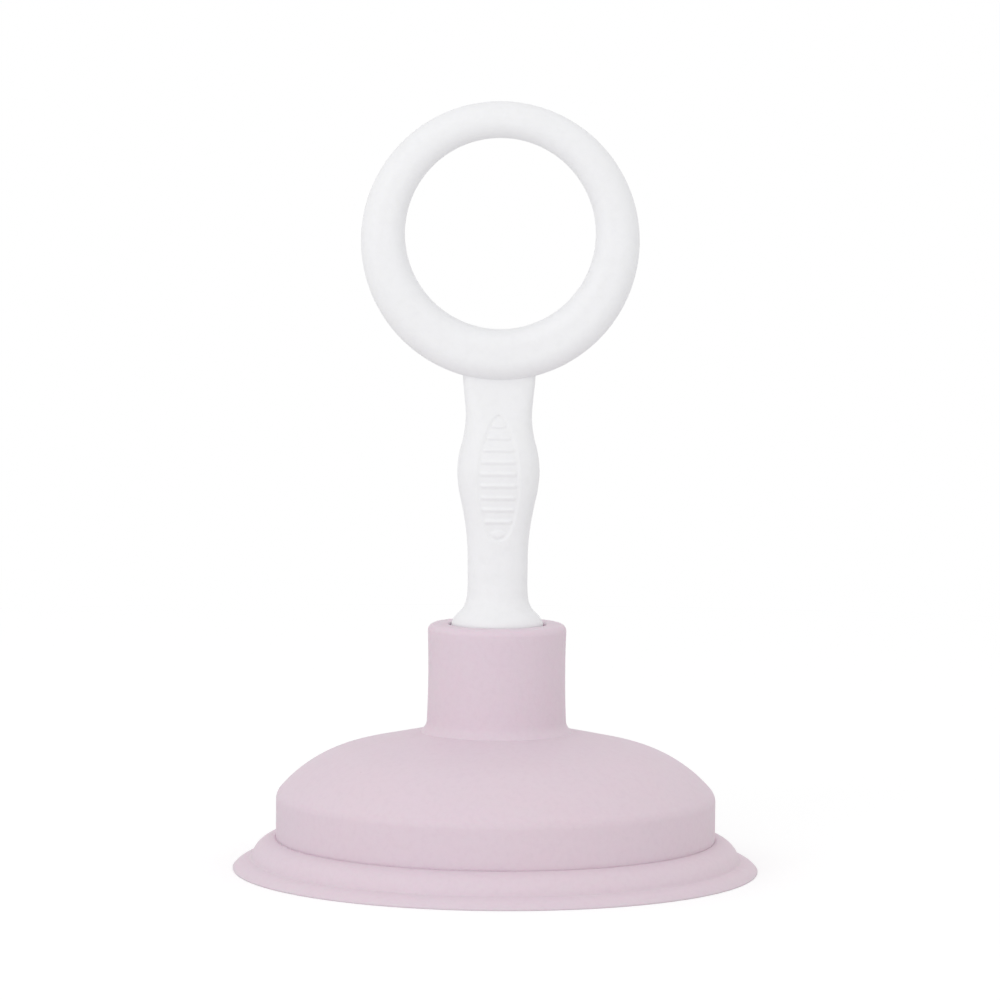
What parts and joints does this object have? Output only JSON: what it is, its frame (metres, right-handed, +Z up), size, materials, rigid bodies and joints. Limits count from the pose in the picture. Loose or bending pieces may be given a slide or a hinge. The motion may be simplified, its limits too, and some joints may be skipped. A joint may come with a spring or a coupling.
{
  "type": "sink plunger",
  "caption": "Sink plunger: wide-flanged soft suction cup on a screw-in ribbed grip handle that ends in a hanging ring.",
  "frame": {"origin": "on the cup's axis, in the plane of the flange's underside", "axes": "+Z up along the handle, +X in the plane of the hanging ring, -Y out of the grip's ribbed face"},
  "size_m": [0.1406, 0.1406, 0.205],
  "materials": {
    "soft_cup": "matte moulded soft rubber, pale pink",
    "socket_plastic": "matte moulded plastic, pale pink",
    "washer_rubber": "smooth grey rubber sheet",
    "handle_plastic": "satin moulded plastic, white"
  },
  "bodies": {
    "bell": {"cup_bell": "soft_cup"},
    "collar": {"cup_collar": "soft_cup", "threaded_socket": "socket_plastic"},
    "washer": {"seal_washer": "washer_rubber"},
    "handle": {"handle": "handle_plastic"}
  },
  "joints": [
    {"name": "pump", "type": "slide", "parent": "bell", "child": "collar", "axis": [0, 0, -1], "range_m": [0, 0.016], "stiffness_N_per_m": 2000, "springref_m": -0.001, "deforming": ["cup_bell"]},
    {"name": "handle_lift", "type": "slide", "parent": "collar", "child": "washer", "axis": [0, 0, 1], "range_m": [0, 0.012]},
    {"name": "handle_turn", "type": "hinge", "parent": "washer", "child": "handle", "pos_m": [0, 0, 0.06], "axis": [0, 0, 1], "range_deg": [0, 1080]}
  ],
  "couplings": [
    {"joint": "handle_lift", "follows": "handle_turn", "m_per_rad": 0.00063662}
  ]
}
